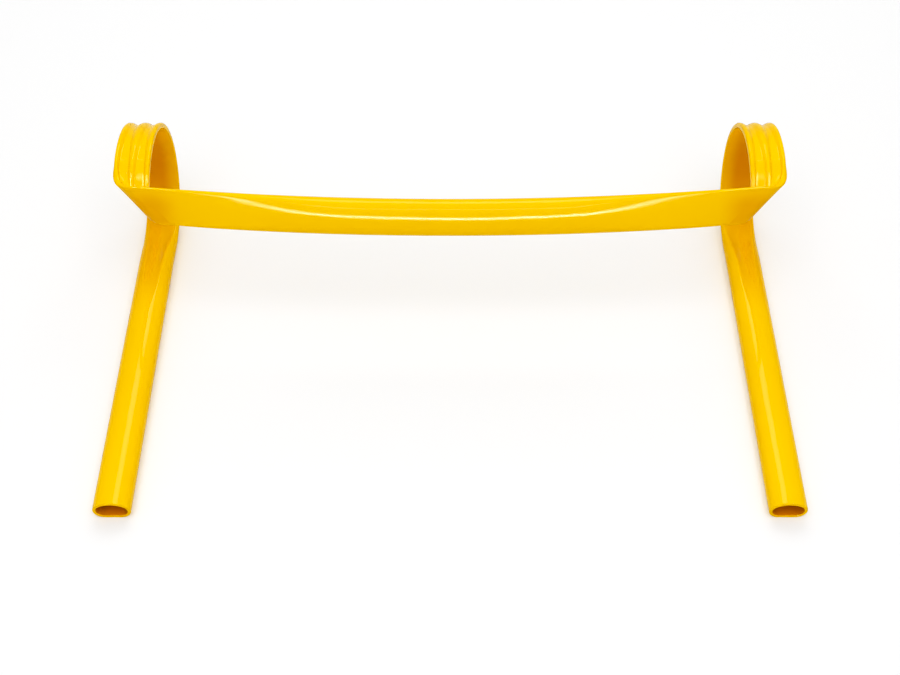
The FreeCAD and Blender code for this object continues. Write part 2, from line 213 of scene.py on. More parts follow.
@dataclass(frozen=True)
class TubeForm:
    """Sizes of the tube and the sections that it is pressed to, for the left side.

    Angles round the loop are 0 at the back and a quarter turn at the top. The heel's dent
    starts at dent_apex_share of the crown's width, dent_delay holds it back at first, and the
    edges follow after edge_lag_share of the heel. Each end of the bar is dished by dish_depth
    at the fold, and leans back by end_lean_share of its width there.
    """

    half_span: float
    front_y: float
    loop_y: float
    tube_width: float
    loop_height: float
    tube_height: float = 20.4 * MM
    tube_side_radius: float = 9.2 * MM
    tube_wall: float = 2.9 * MM
    heel_length: float = 95.0 * MM
    heel_climb: float = math.radians(50.0)
    dent_apex_share: float = 0.4
    dent_delay: float = 1.4
    edge_lag_share: float = 0.45
    band_thickness: float = 4.8 * MM
    bead_height: float = 2.1 * MM
    bead_crest_radius: float = 2.0 * MM
    bead_fall: float = 4.6 * MM
    middle_bead_width: float = 10.0 * MM
    front_bead_fall: float = 2.8 * MM
    front_middle_bead_width: float = 6.2 * MM
    bead_narrowing: tuple[float, float] = (math.radians(70.0), math.radians(115.0))
    band_corner_radius: float = 1.1 * MM
    fold_radius: float = 9.5 * MM
    bar_angle: float = math.radians(138.4)
    bar_bow: float = 8.0 * MM
    bar_flat_reach: float = 230.0 * MM
    bar_open_reach: float = 85.0 * MM
    bar_flat_thickness: float = 5.6 * MM
    bar_rim_radius: float = 2.4 * MM
    bar_side_radius: float = 9.0 * MM
    # Painted shade: its depth on the front of each bar end by the fold and how far along the bar it
    # fades, then where round the loop's inner face it is deepest, how far round it spreads and the
    # share it keeps past that
    fold_shade_share: float = 0.52
    fold_shade_reach: float = 27.0 * MM
    deepest_shade_angle: float = math.radians(-12.0)
    shade_spread: float = math.radians(40.0)
    far_shade_share: float = 0.7
    dish_depth: float = 6.0 * MM
    dish_reach: float = 46.0 * MM
    end_lean_share: float = 0.09
    end_lean_start: float = 110.0 * MM
    foot_split_shares: tuple[float, ...] = (0.0, 0.1, 0.39, 0.61, 0.9, 1.0)
    back_split_shares: tuple[float, ...] = (0.0, 0.14, 0.4, 0.6, 0.86, 1.0)
    flank_split_shares: tuple[float, ...] = (0.0, 0.33, 0.67, 1.0)

    @classmethod
    def from_frame(cls) -> TubeForm:
        """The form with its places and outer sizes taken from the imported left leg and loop.

        Returns:
            The form.
        """
        leg_low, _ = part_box("left_leg")
        loop_low, loop_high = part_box("left_loop")
        return cls(
            half_span=-(loop_low.x + loop_high.x) / 2,
            front_y=leg_low.y,
            loop_y=loop_high.y - loop_high.z / 2,
            tube_width=loop_high.x - loop_low.x,
            loop_height=loop_high.z,
        )

    @property
    def half_width(self) -> float:
        """Half the width of the tube and of the band."""
        return self.tube_width / 2

    @property
    def half_band(self) -> float:
        """Half the thickness of the band over its beads."""
        return self.band_thickness / 2

    @property
    def loop_radius(self) -> float:
        """Radius of the loop at the middle of its thickness."""
        return self.loop_height / 2 - self.half_band

    @property
    def loop_centre(self) -> np.ndarray:
        """Centre of the left loop."""
        return np.array([-self.half_span, self.loop_y, self.loop_height / 2])

    @property
    def heel_run(self) -> float:
        """Length of the heel, along the floor and up into the loop."""
        return self.heel_length + self.loop_radius * self.heel_climb

    @property
    def heel_angle(self) -> float:
        """Angle round the loop where the heel ends."""
        return self.heel_climb - QUARTER

    @property
    def bar_radius(self) -> float:
        """Distance of the bar's middle plane from the loop's axis."""
        return self.loop_radius + 2 * self.fold_radius

    @property
    def slope(self) -> float:
        """Angle at which the bow leaves the fold."""
        return math.atan(2 * self.bar_bow / self.bar_flat_reach)

    @property
    def fold_line(self) -> float:
        """Angle of the fold line, from straight across the band."""
        return (QUARTER + self.slope) / 2

    @property
    def half_turn(self) -> float:
        """Length of band that the fold takes up."""
        return math.pi * self.fold_radius

    @property
    def inset(self) -> float:
        """Distance from the loop's middle to where the bar starts to open."""
        return self.half_span - self.bar_flat_reach

    @property
    def fold_start(self) -> float:
        """Run round the loop from the bar's angle back to the fold line."""
        run = (self.inset + self.half_turn * math.sin(self.fold_line)) / math.cos(self.slope)
        return -(run * math.sin(self.slope) + self.half_turn * math.cos(self.fold_line))

    @property
    def fold_angle(self) -> float:
        """Angle round the loop where the fold line crosses the band's middle."""
        return self.bar_angle + self.fold_start / self.loop_radius

    @property
    def roll_end(self) -> float:
        """Distance from the loop's middle to where the fold hands over to the bar."""
        reach = math.cos(self.slope) / math.cos(self.fold_line)
        return self.half_turn * (reach - math.sin(self.fold_line))

    @property
    def lean(self) -> float:
        """Distance down the bar's end for each step inwards along its cut."""
        return math.tan(self.fold_line) - math.tan(self.slope)

    @property
    def flanks(self) -> tuple[np.ndarray, np.ndarray]:
        """Shares along an oval's two side arcs, off its inner face and back to it."""
        splits = self.flank_split_shares
        return joined_steps(COUNTS.flank, splits), joined_steps(COUNTS.flank[::-1], splits)

    def bead_narrowed(self, angle: float) -> float:
        """How far the beads have narrowed at an angle round the loop."""
        first, last = self.bead_narrowing
        return float(eased((angle - first) / (last - first)))

    def loop_shade(self, angle: Values) -> Values:
        """How deep the painted shade on the loop's inner face is at an angle round it."""
        away = eased(np.abs(angle - self.deepest_shade_angle) / self.shade_spread)
        return mix(1.0, self.far_shade_share, away)

    def outer_face(self, across: np.ndarray, fall: float, middle_width: float) -> np.ndarray:
        """The band's beaded face.

        Args:
            across: Places across the band.
            fall: Width of the slope inside each edge bead.
            middle_width: Width of the middle bead.

        Returns:
            Heights over the band's middle thickness.
        """
        base = self.half_band - self.bead_height
        crest = self.half_width - self.bead_crest_radius
        edge = (crest - np.abs(across)) / fall
        middle = np.abs(across) / (middle_width / 2)
        rise = sum(1.0 - np.clip(t, 0.0, 1.0) ** 2 for t in (edge, middle))
        return base + self.bead_height * rise

    def band_outline(self, narrowed: float = 0.0) -> np.ndarray:
        """Section of the flattened band.

        Args:
            narrowed: How far the beads have narrowed, from 0 to 1.

        Returns:
            The points, across the band and out from its middle thickness, one row each.
        """
        fall = mix(self.bead_fall, self.front_bead_fall, narrowed)
        middle_width = mix(self.middle_bead_width, self.front_middle_bead_width, narrowed)
        side, corner, crest = self.half_width, self.band_corner_radius, self.bead_crest_radius
        inner_x, crest_x, bead_x = side - corner, side - crest, middle_width / 2
        foot_x = crest_x - fall
        face, low, high = -self.half_band, corner - self.half_band, self.half_band - crest
        stops = (crest_x, foot_x, bead_x, -bead_x, -foot_x, -crest_x)
        across = joined_steps(COUNTS.outer, stops)
        return np.concatenate([
            line_points((-inner_x, face), (inner_x, face), steps(COUNTS.inner)),
            arc_points((inner_x, low), corner, -QUARTER, 0.0, steps(COUNTS.corner)),
            line_points((side, low), (side, high), steps(COUNTS.edge)),
            arc_points((crest_x, high), crest, 0.0, QUARTER, steps(COUNTS.crest)),
            np.stack([across, self.outer_face(across, fall, middle_width)], axis=1),
            arc_points((-crest_x, high), crest, QUARTER, 2 * QUARTER, steps(COUNTS.crest)),
            line_points((-side, high), (-side, low), steps(COUNTS.edge)),
            arc_points((-inner_x, low), corner, 2 * QUARTER, 3 * QUARTER, steps(COUNTS.corner)),
        ])

    def leg_outline(self, wall: float = 0.0) -> np.ndarray:
        """Flat-bottomed oval of the leg.

        Args:
            wall: How far the outline is inset.

        Returns:
            The points, across the leg and up from the floor, one row each.
        """
        side = self.tube_side_radius
        radius, half_angle = crown_arc(self.half_width, self.tube_height - side, side)
        centre = self.half_width - side
        first, last = QUARTER + half_angle, QUARTER - half_angle
        right, left = self.flanks
        crown_centre = (0.0, self.tube_height - radius)
        foot = joined_steps(COUNTS.outer, self.foot_split_shares)
        return np.concatenate([
            arc_points(crown_centre, radius - wall, first, last, steps(COUNTS.inner)),
            arc_points((centre, side), side - wall, last, -QUARTER, right),
            line_points((centre, wall), (-centre, wall), foot),
            arc_points((-centre, side), side - wall, 3 * QUARTER, first, left),
        ])

    def dent_reach_share(self, share: Values) -> Values:
        """How far across the crown the dent reaches, from its tip to its full width at the band."""
        return mix(self.dent_apex_share, 1.0, share)

    def heel_outline(self, share: float) -> np.ndarray:
        """Section of the heel: the oval pressed down to the band, its crown ahead of its edges.

        Args:
            share: Place along the heel, from the tube at 0 to the band at 1.

        Returns:
            The points, across the heel and up from the floor, one row each.
        """
        oval = self.leg_outline()
        band = self.band_outline() * (1.0, -1.0) + (0.0, self.half_band)
        crown_x = oval[: COUNTS.inner, 0]
        reach = np.abs(crown_x).max() * self.dent_reach_share(share)
        lead = np.zeros(COUNTS.ring)
        lead[: COUNTS.inner] = np.clip(1.0 - (crown_x / reach) ** 2, 0.0, 1.0)
        edges = eased((share - self.edge_lag_share) / (1.0 - self.edge_lag_share))
        pressed = mix(edges, eased(share) ** self.dent_delay, lead)
        across = mix(oval[:, 0], band[:, 0], edges)
        return np.stack([across, mix(oval[:, 1], band[:, 1], pressed)], axis=1)

    def bar_outline(self, opened: float) -> np.ndarray:
        """Section of the bar.

        Args:
            opened: How far the bar has opened, from 0 flattened to 1 fully open.

        Returns:
            The points, down the bar's width and forwards, one row each.
        """
        height = mix(self.bar_flat_thickness, self.tube_height, opened) / 2
        side = mix(self.bar_rim_radius, self.bar_side_radius, opened)
        radius, half_angle = crown_arc(self.half_width, height, side)
        centre, reach = self.half_width - side, height - radius
        first, last = QUARTER + half_angle, QUARTER - half_angle
        lower, upper = self.flanks
        back = joined_steps(COUNTS.outer, self.back_split_shares)
        return np.concatenate([
            arc_points((0.0, reach), radius, first, last, steps(COUNTS.inner)),
            arc_points((centre, 0.0), side, last, -last, lower),
            arc_points((0.0, -reach), radius, -last, -first, back),
            arc_points((-centre, 0.0), side, -first, half_angle - 3 * QUARTER, upper),
        ])

    def bar_opening(self, x: float) -> float:
        """How far the bar has opened at a distance from its middle."""
        return eased((self.bar_flat_reach - abs(x)) / (self.bar_flat_reach - self.bar_open_reach))

    def bar_sag(self, x: np.ndarray) -> np.ndarray:
        """The bar's bow.

        Args:
            x: Places along the bar.

        Returns:
            How far its middle line lies down its width there from where its flat ends stand.
        """
        reach = self.bar_flat_reach
        bowed = self.bar_bow * (1.0 - (x / reach) ** 2)
        return np.where(np.abs(x) > reach, -math.tan(self.slope) * (np.abs(x) - reach), bowed)

    def leg_ring(self, outline: np.ndarray, y: float) -> np.ndarray:
        """Ring of the left leg from an outline, at a distance from the leg's front end."""
        across, up = outline.T
        return np.stack([across - self.half_span, np.full_like(up, self.front_y + y), up], axis=1)

    def heel_ring(self, run: float) -> np.ndarray:
        """Ring of the left heel.

        Args:
            run: Distance from the heel's start, along the floor and then up the loop.

        Returns:
            The points, one row each.
        """
        outline = self.heel_outline(run / self.heel_run)
        climbed = run - self.heel_length
        if climbed <= 0.0:
            return self.leg_ring(outline, self.loop_y - self.front_y + climbed)
        across, up = outline.T
        outward = radial(climbed / self.loop_radius - QUARTER)
        points = self.loop_centre + np.outer(self.loop_height / 2 - up, outward)
        points[:, 0] += across
        return points

    def loop_ring(self, angle: float, slant: float) -> np.ndarray:
        """Ring of the left loop.

        Args:
            angle: Angle round the loop at the band's middle.
            slant: Share of the fold line's slant.

        Returns:
            The points, one row each.
        """
        across, out = self.band_outline(self.bead_narrowed(angle)).T
        swing = slant * np.arcsin(across * math.tan(self.fold_line) / (self.loop_radius + out))
        points = self.loop_centre + radial(angle + swing) * (self.loop_radius + out)[:, None]
        points[:, 0] += across
        return points

    def fold_ring(self, share: float) -> np.ndarray:
        """Ring of the left corner, between the loop's last ring and the bar's first.

        Args:
            share: Share of the half turn.

        Returns:
            The points, one row each.
        """
        line, slope = self.fold_line, self.slope
        # The loop's last ring: across the band, past the fold line, and out
        across, out = self.band_outline(self.bead_narrowed(self.fold_angle)).T
        run = np.arcsin(across * math.tan(line) / (self.loop_radius + out)) * self.loop_radius
        first = np.stack([across, run * math.cos(line) - across * math.sin(line), out])

        # The bar's first ring, unrolled to the same three
        down, forward = self.bar_outline(0.0).T
        inward = self.roll_end + down / self.lean
        drop = math.tan(slope) * (inward - self.inset) + down
        run_in = inward + self.half_turn * math.sin(line)
        swing = np.arctan2(drop, self.bar_radius + forward)
        run_down = swing * self.bar_radius - self.fold_start - self.half_turn * math.cos(line)
        across = run_down * math.cos(slope) - run_in * math.sin(slope)
        run = run_in * math.cos(slope) + run_down * math.sin(slope)
        past = run * math.cos(line) - across * math.sin(line) - self.half_turn
        out = self.bar_radius - np.hypot(drop, self.bar_radius + forward)
        last = np.stack([across, past, out])

        # From one to the other, sinking to the dish and the lean of the bar's end
        turned = eased(share)
        points = self.rolled(*mix(first, last, turned), math.pi * share)
        tilt = 2.0 * self.dish_depth / self.dish_reach * math.hypot(1.0, 1.0 / self.lean)
        dip = turned * self.dish_depth + share**2 * (1.0 - share) * tilt * self.half_turn
        dip = dip + turned * self.end_lean_share * (down + self.half_width)
        return points - np.outer(dip, radial(self.bar_angle))

    def rolled(self, across: np.ndarray, past: np.ndarray, out: np.ndarray,
               turn: float) -> np.ndarray:
        """Where points of the band come to lie after a turn of the roll.

        Args:
            across: Place across the band.
            past: Place past the fold line.
            out: Height over the band's middle thickness.
            turn: Angle of the roll.

        Returns:
            The points, one row each.
        """
        line = self.fold_line
        run = (self.fold_radius * turn + past + across * math.sin(line)) / math.cos(line)
        on_line = across * math.cos(line) + run * math.sin(line)
        off_line = self.fold_radius * math.sin(turn) + past * math.cos(turn)
        rise = self.fold_radius * (1.0 - math.cos(turn)) + past * math.sin(turn)
        inward = on_line * math.cos(line) - off_line * math.sin(line)
        swing = self.fold_start + on_line * math.sin(line) + off_line * math.cos(line)
        angle = self.bar_angle + swing / (self.loop_radius + rise)
        onward = tangent(angle) * math.cos(line)
        onward[:, 0] -= math.sin(line)
        points = self.loop_centre + radial(angle) * (self.loop_radius + rise)[:, None]
        points[:, 0] += inward
        return points + (radial(angle) * math.cos(turn) - onward * math.sin(turn)) * out[:, None]

    def bar_ring(self, x: float, slant: float) -> np.ndarray:
        """Ring of the bar.

        Args:
            x: Place along the bar, from its middle.
            slant: Share of the fold line's slant.

        Returns:
            The points, one row each.
        """
        down, forward = self.bar_outline(self.bar_opening(x)).T
        along = x - math.copysign(slant, x) * down / self.lean
        past_fold = self.half_span - abs(x) - self.roll_end - (1.0 - slant) * down / self.lean
        dip = self.dish_depth * (1.0 - np.clip(past_fold / self.dish_reach, 0.0, 1.0)) ** 2
        lean_run = self.half_span - self.roll_end - self.end_lean_start
        leaned = eased(1.0 - past_fold / lean_run)
        dip += self.end_lean_share * (down + self.half_width) * leaned
        centre = self.loop_centre + radial(self.bar_angle) * self.bar_radius
        centre[0] = 0.0
        points = centre + np.outer(self.bar_sag(along) + down, tangent(self.bar_angle))
        points += np.outer(forward - dip, radial(self.bar_angle))
        points[:, 0] += along
        return points


def deselect_all() -> None:
    """Leave edit mode and select nothing."""
    if bpy.context.object and bpy.context.object.mode != "OBJECT":
        bpy.ops.object.mode_set(mode="OBJECT")
    bpy.ops.object.select_all(action="DESELECT")


def ring_normals(rings: np.ndarray) -> np.ndarray:
    """Normals of the middle rings of a run, from the rings before and after each.

    Args:
        rings: Rings of points, one ring more at each end than normals are wanted for.

    Returns:
        One unit normal per point, all to the same side of the tube's wall.
    """
    along = rings[2:] - rings[:-2]
    around = np.roll(rings, -1, axis=1)[1:-1] - np.roll(rings, 1, axis=1)[1:-1]
    normals = np.cross(along, around)
    return normals / np.linalg.norm(normals, axis=2, keepdims=True)


def formed_piece(name: str, rings: np.ndarray, shade_depth: np.ndarray) -> bpy.types.Object:
    """A closed piece of tube from a sheet that is bent through rings of points.

    Args:
        name: Name of the piece.
        rings: Rings of points, with one more ring past each end, for the shading there.
        shade_depth: How deep the painted shade is at each point, by ring and place, for
            the rings that are kept.

    Returns:
        The piece, with a UV map in metres along and round the tube.
    """
    count, around = rings.shape[0] - 2, rings.shape[1]
    deselect_all()
    bpy.ops.mesh.primitive_grid_add(x_subdivisions=count - 1, y_subdivisions=around, size=1.0)
    piece = bpy.context.object
    mesh = piece.data
    piece.name = mesh.name = name
    sheet = np.concatenate([rings[1:-1], rings[1:-1, :1]], axis=1)
    mesh.vertices.foreach_set("co", sheet.transpose(1, 0, 2).ravel())
    place = np.arange(around + 1)[:, None] % around + np.arange(count)[None, :] * around
    mark = mesh.attributes.new(RING_PLACE, "INT", "POINT")
    mark.data.foreach_set("value", place.ravel().astype(np.int32))

    length = np.linalg.norm(np.diff(rings[1:-1], axis=0), axis=2).mean(axis=1).sum()
    girth = np.linalg.norm(np.diff(sheet, axis=1), axis=2).sum(axis=1).mean()
    uv = mesh.uv_layers[0].uv
    shares = np.empty(len(uv) * 2, np.float32)
    uv.foreach_get("vector", shares)
    metres = shares.reshape(-1, 2) * (length, girth)
    uv.foreach_set("vector", metres.ravel().astype(np.float32))

    bpy.ops.object.mode_set(mode="EDIT")
    bpy.ops.mesh.select_all(action="SELECT")
    bpy.ops.mesh.remove_doubles(threshold=WELD_REACH)
    bpy.ops.mesh.select_all(action="SELECT")
    bpy.ops.mesh.fill_holes(sides=0)
    bpy.ops.mesh.select_all(action="SELECT")
    bpy.ops.mesh.normals_make_consistent(inside=False)
    bpy.ops.object.mode_set(mode="OBJECT")
    bpy.ops.object.shade_smooth()
    shade_across_seams(piece, ring_normals(rings))
    # Keep how deep the painted shade is at each point, for the material
    shade = mesh.attributes.new(PAINTED_SHADE, "FLOAT", "POINT")
    places = ring_places(piece)
    shade.data.foreach_set("value", shade_depth.ravel()[places].astype(np.float32))
    mesh.attributes.remove(mesh.attributes[RING_PLACE])
    return piece


def ring_places(piece: bpy.types.Object) -> np.ndarray:
    """Which place in which ring each point of a formed piece came from.

    Args:
        piece: A piece whose points still carry their ring place.

    Returns:
        One number per point, counted ring after ring.
    """
    places = np.empty(len(piece.data.vertices), np.int32)
    piece.data.attributes[RING_PLACE].data.foreach_get("value", places)
    return places


def shade_across_seams(piece: bpy.types.Object, normals: np.ndarray) -> None:
    """Give a formed piece the normals of the whole tube, and its end faces their own.

    Args:
        piece: A piece whose points still carry their ring place.
        normals: Normals by ring and place in the ring.
    """
    mesh = piece.data
    corner = np.empty(len(mesh.loops), np.int32)
    mesh.loops.foreach_get("vertex_index", corner)
    wanted = normals.reshape(-1, 3)[ring_places(piece)[corner]]
    wall = next(face for face in mesh.polygons if len(face.vertices) == WALL_CORNERS)
    if np.dot(wanted[wall.loop_start], wall.normal) < 0.0:
        wanted = -wanted
    for face in mesh.polygons:
        if len(face.vertices) > WALL_CORNERS:
            wanted[face.loop_start:face.loop_start + face.loop_total] = face.normal
    mesh.normals_split_custom_set(wanted.tolist())


def inner_face_shade(lit_edge: LitEdge) -> np.ndarray:
    """Painted shade across a ring: full on the smooth inner face, lighter towards its lit edge,
    fading out round its corners.

    Args:
        lit_edge: The edge where the painted shade is lighter.

    Returns:
        How deep the painted shade is, one share per point of a ring.
    """
    inner, corner = COUNTS.inner, COUNTS.corner
    face = np.zeros(COUNTS.ring)
    across = np.linspace(-1.0, 1.0, inner + 1)
    face[:inner + 1] = mix(1.0, LIT_EDGE_SHADE_SHARE, eased(lit_edge.value * across))
    face[inner:inner + corner] = face[inner] * (1.0 - steps(corner))
    face[-corner:] = face[0] * steps(corner)
    return face


def formed_on_side(name: str, side: Side, rings: np.ndarray,
                   shade_depth: np.ndarray) -> bpy.types.Object:
    """A formed piece of the left half, or its mirror image on the right.

    Args:
        name: Name of the piece, without its side.
        side: The side that it goes on.
        rings: Rings for the left half.
        shade_depth: How deep the painted shade is at their points.

    Returns:
        The piece.
    """
    if side is Side.RIGHT:
        rings = (rings * MIRROR)[:, ::-1]
        shade_depth = shade_depth[:, ::-1]
    return formed_piece(f"{side.value}_{name}", rings, shade_depth)


class ShaderGraph:
    """Adds nodes to a node tree and links them by name."""

    def __init__(self, tree: bpy.types.NodeTree) -> None:
        """Work on a node tree."""
        self.tree = tree

    def add(self, kind: str, links: dict[str | int, bpy.types.NodeSocket] | None = None,
            values: dict[str | int, object] | None = None, **settings: object) -> bpy.types.Node:
        """A new node.

        Args:
            kind: The node's type.
            links: Sockets to link to its inputs, by input name or number.
            values: Values for its inputs, by input name or number.
            **settings: The node's own settings.

        Returns:
            The node.
        """
        node = self.tree.nodes.new(kind)
        for key, value in settings.items():
            setattr(node, key, value)
        self.feed(node, links or {}, values or {})
        return node

    def feed(self, node: bpy.types.Node, links: dict[str | int, bpy.types.NodeSocket],
             values: dict[str | int, object]) -> None:
        """Set and link the inputs of a node.

        Args:
            node: The node.
            links: Sockets to link to its inputs, by input name or number.
            values: Values for its inputs, by input name or number.
        """
        for key, value in values.items():
            node.inputs[key].default_value = value
        for key, socket in links.items():
            self.tree.links.new(socket, node.inputs[key])


@dataclass(frozen=True)
class GlossyPlastic:
    """Finish of the whole hurdle: pressed yellow plastic with a soft gloss, and painted shade that
    darkens it to a deeper orange where it is sheltered.
    """

    colour: Colour = (0.98, 0.58, 0.002, 1.0)
    deep_colour: Colour = (0.95, 0.54, 0.001, 1.0)
    # Deeper orange that painted shade darkens the plastic to in the loops, the heel's dent, the
    # bore and by the folds
    painted_shade_colour: Colour = (0.74, 0.295, 0.001, 1.0)
    refraction: float = 1.5
    specular: float = 0.33
    roughness: float = 0.11
    roughness_spread: float = 0.03
    cloud_scale: float = 16.0
    cloud_detail: float = 3.0
    flow_scale: Point = (7.0, 420.0, 1.0)
    flow_detail: float = 2.0
    wave_scale: float = 38.0
    wave_detail: float = 1.0
    wave_depth: float = 0.3 * MM

    def material(self) -> bpy.types.Material:
        """The finish as a material.

        Returns:
            The material.
        """
        made = bpy.data.materials.new(SLOT)
        made.use_nodes = True
        made.node_tree.nodes.clear()
        graph = ShaderGraph(made.node_tree)
        place = graph.add("ShaderNodeTexCoord")
        clouds = graph.add("ShaderNodeTexNoise", {"Vector": place.outputs["Object"]},
                           {"Scale": self.cloud_scale, "Detail": self.cloud_detail})
        tint = graph.add("ShaderNodeMix", {"Factor": clouds.outputs["Fac"]},
                         {"A": self.colour, "B": self.deep_colour}, data_type="RGBA")
        # Painted shade: the colour is mixed towards the deeper orange by the depth stored on each
        # point
        shade_depth = graph.add("ShaderNodeAttribute", attribute_name=PAINTED_SHADE)
        shade = graph.add("ShaderNodeMix",
                         {"Factor": shade_depth.outputs["Fac"], "A": tint.outputs["Result"]},
                         {"B": self.painted_shade_colour}, data_type="RGBA")
        flow_place = graph.add("ShaderNodeMapping", {"Vector": place.outputs["UV"]},
                               {"Scale": self.flow_scale})
        flow = graph.add("ShaderNodeTexNoise", {"Vector": flow_place.outputs["Vector"]},
                         {"Scale": 1.0, "Detail": self.flow_detail})
        rough = graph.add("ShaderNodeMapRange", {"Value": flow.outputs["Fac"]},
                          {"To Min": self.roughness - self.roughness_spread,
                           "To Max": self.roughness + self.roughness_spread})
        waves = graph.add("ShaderNodeTexNoise", {"Vector": place.outputs["Object"]},
                          {"Scale": self.wave_scale, "Detail": self.wave_detail})
        wavy = graph.add("ShaderNodeBump", {"Height": waves.outputs["Fac"]},
                         {"Strength": 1.0, "Distance": self.wave_depth})
        shader = graph.add("ShaderNodeBsdfPrincipled",
                           {"Base Color": shade.outputs["Result"],
                            "Roughness": rough.outputs["Result"],
                            "Normal": wavy.outputs["Normal"]},
                           {"IOR": self.refraction, "Specular IOR Level": self.specular})
        graph.add("ShaderNodeOutputMaterial", {"Surface": shader.outputs["BSDF"]})
        return made


@dataclass
class TubeRoute:
    """Rings of the tube's left half, stretch by stretch from the heel to the bar's middle."""

    form: TubeForm
    heel_rings: int = 60
    loop_rings: int = 96
    corner_rings: int = 40
    bar_end_rings: int = 14
    bar_rings: int = 70
    slant_start: float = math.radians(10.0)
    bar_upright_reach: float = 222.0 * MM
    heel: list[np.ndarray] = field(init=False)
    loop_angles: np.ndarray = field(init=False)
    loop: list[np.ndarray] = field(init=False)
    corner: list[np.ndarray] = field(init=False)
    bar: list[np.ndarray] = field(init=False)

    def __post_init__(self) -> None:
        """Lay out the four stretches, each starting on the last ring of the one before."""
        form = self.form
        heel_runs = np.linspace(0.0, form.heel_run, self.heel_rings)
        self.heel = [form.heel_ring(run) for run in heel_runs]
        self.loop_angles = np.linspace(form.heel_angle, form.fold_angle, self.loop_rings)
        slants = eased((self.loop_angles - self.slant_start) / (form.fold_angle - self.slant_start))
        self.loop = [form.loop_ring(angle, slant) for angle, slant in zip(self.loop_angles, slants)]
        turns = np.linspace(0.0, 1.0, self.corner_rings)
        self.corner = [form.fold_ring(turn) for turn in turns]
        end, upright = form.half_span - form.roll_end, self.bar_upright_reach
        self.bar = []
        for reach in np.linspace(end, upright, self.bar_end_rings)[:-1]:
            self.bar.append(form.bar_ring(-reach, eased((reach - upright) / (end - upright))))
        reaches = np.linspace(upright, 0.0, self.bar_rings)
        self.bar += [form.bar_ring(-reach, 0.0) for reach in reaches]


@dataclass
class Leg:
    """A leg: open oval tube on the floor, pressed down to the band at its heel."""

    route: TubeRoute
    side: Side
    tube_rings: int = 10
    lip_rings: int = 6
    bore_rings: int = 6
    lip_radius: float = 0.9 * MM
    bore_depth: float = 150.0 * MM
    # Painted shade of the heel's dent: its depth, how soon it rises, how softly it ends at the
    # ridge, and where the loop's shade takes over
    dent_shade_share: float = 0.3
    dent_shade_rise_share: float = 0.35
    dent_shade_fade_share: float = 0.3
    loop_shade_start_share: float = 0.7

    def rings(self) -> np.ndarray:
        """Rings up the bore to the lip, over it, and back along the outside to the loop.

        Returns:
            The rings, with one more past each end.
        """
        form = self.route.form
        wall, lip = form.tube_wall, self.lip_radius
        tube_end = form.loop_y - form.front_y - form.heel_length
        bore = np.linspace(self.bore_depth + lip, lip, self.bore_rings)[:-1]
        rings = [form.leg_ring(form.leg_outline(wall), y) for y in bore]
        turns = np.linspace(0.0, QUARTER, self.lip_rings)
        for turn in turns:
            inset = wall - lip * (1.0 - math.cos(turn))
            rings.append(form.leg_ring(form.leg_outline(inset), lip * (1.0 - math.sin(turn))))
        for turn in turns:
            inset = lip * (1.0 - math.sin(turn))
            rings.append(form.leg_ring(form.leg_outline(inset), lip * (1.0 - math.cos(turn))))
        tube = np.linspace(lip, tube_end, self.tube_rings)[1:-1]
        rings += [form.leg_ring(form.leg_outline(), y) for y in tube]
        return np.array([*rings, *self.route.heel, self.route.loop[1]])

    def shade_depth(self, count: int) -> np.ndarray:
        """Painted shade of the bore, and of the heel's dent, deepest where it climbs under the bar.

        Args:
            count: How many rings the leg keeps.

        Returns:
            How deep the painted shade is at each point, by ring and place.
        """
        form, heel = self.route.form, self.route.heel_rings
        shade = np.zeros((count, COUNTS.ring))
        # The bore gets the full painted shade
        shade[: self.bore_rings + 1] = 1.0
        along = np.linspace(0.0, 1.0, heel)[:, None]
        across = np.linspace(-1.0, 1.0, COUNTS.inner + 1)
        fade, start = self.dent_shade_fade_share, self.loop_shade_start_share
        from_ridge = across - form.dent_reach_share(along)
        below_ridge = 1.0 - eased((from_ridge + fade / 2) / fade)
        risen = self.dent_shade_share * eased(along / self.dent_shade_rise_share)
        dent = np.zeros((heel, COUNTS.ring))
        dent[:, : len(across)] = risen * below_ridge
        loop = form.loop_shade(form.heel_angle) * inner_face_shade(LitEdge.LAST)
        shade[-heel:] = mix(dent, loop, eased((along - start) / (1.0 - start)))
        return shade

    def build(self) -> bpy.types.Object:
        """Make the piece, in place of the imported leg.

        Returns:
            The piece.
        """
        rings = self.rings()
        piece = formed_on_side("leg_tube", self.side, rings, self.shade_depth(len(rings) - 2))
        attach(piece, f"{self.side.value}_side")
        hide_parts(f"{self.side.value}_leg")
        return piece


@dataclass
class SpringLoop:
    """A spring loop: the beaded band, curled up from the heel and over to the fold."""

    route: TubeRoute
    side: Side
    bend_low: float = 28.5 * MM
    bend_high: float = 113.0 * MM

    def build(self) -> bpy.types.Object:
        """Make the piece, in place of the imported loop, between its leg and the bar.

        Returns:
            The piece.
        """
        route = self.route
        rings = np.array([route.heel[-2], *route.loop, route.corner[1]])
        # Painted shade on the loop's inner face, deepest just below the back and lighter towards
        # its inboard edge
        shade_depth = np.outer(route.form.loop_shade(route.loop_angles), inner_face_shade(LitEdge.LAST))
        piece = formed_on_side("loop_band", self.side, rings, shade_depth)
        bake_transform(piece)
        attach(piece, f"{self.side.value}_side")
        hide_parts(f"{self.side.value}_loop")
        return piece


